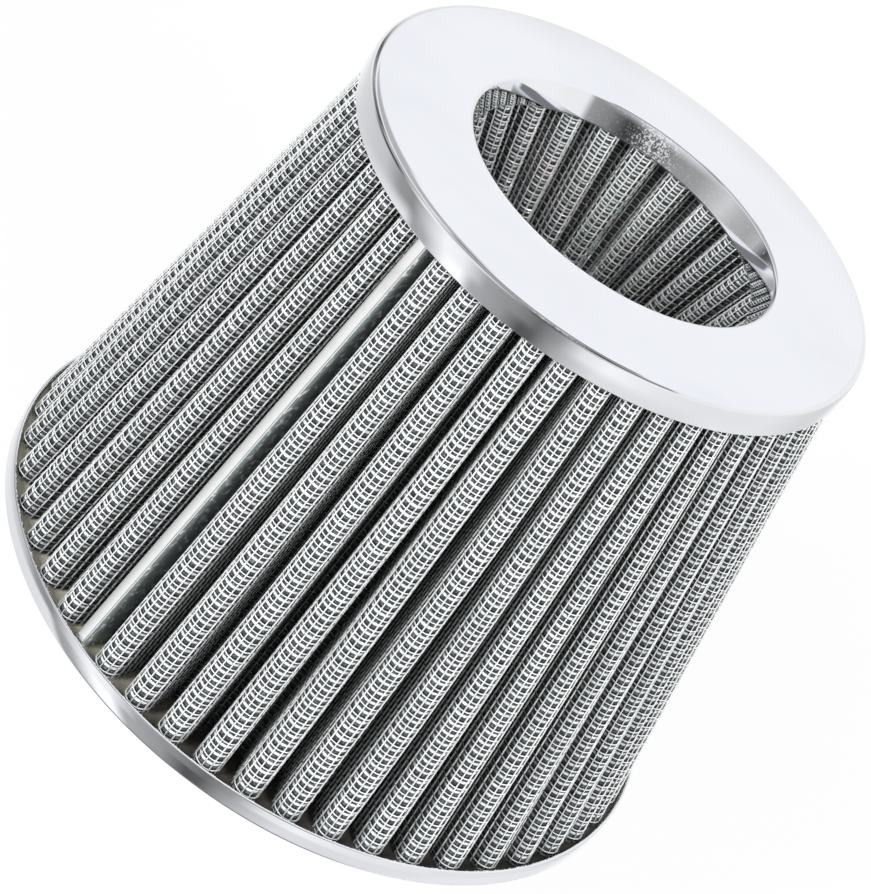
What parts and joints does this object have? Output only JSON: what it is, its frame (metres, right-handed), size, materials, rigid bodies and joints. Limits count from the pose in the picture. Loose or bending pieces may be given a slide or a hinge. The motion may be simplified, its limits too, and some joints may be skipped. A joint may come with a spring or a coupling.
{
  "type": "cone air filter",
  "caption": "Open-topped cone air filter: pleated wire-cloth cone between a chromed ring cap and a chromed base, with an inverted inner cone and a rubber inlet neck for an intake pipe.",
  "frame": {"origin": "middle of the neck's open end, on the surface that the filter stands on", "axes": "+Z along the filter's axis, from the neck up to the ring cap; -Y faces the picture's viewer"},
  "size_m": [0.1554, 0.1554, 0.1428],
  "materials": {
    "chrome_plate": "polished chrome plating",
    "wire_cloth_pack": "grey media under bright woven wire cloth",
    "seam_metal": "bright folded tin plate",
    "cup_metal": "plain pressed steel",
    "potting": "cast cream compound, satin",
    "neck_rubber": "moulded black rubber, matt"
  },
  "bodies": {
    "root": {"top_cap": "chrome_plate", "base_ring": "chrome_plate", "outer_pleats": "wire_cloth_pack", "inner_pleats": "wire_cloth_pack", "outer_seam_strip": "seam_metal", "inner_seam_strip": "seam_metal", "inner_end_cup": "cup_metal", "base_potting": "potting", "top_potting": "potting", "inner_end_potting": "potting", "inlet_neck": "neck_rubber"}
  },
  "joints": []
}
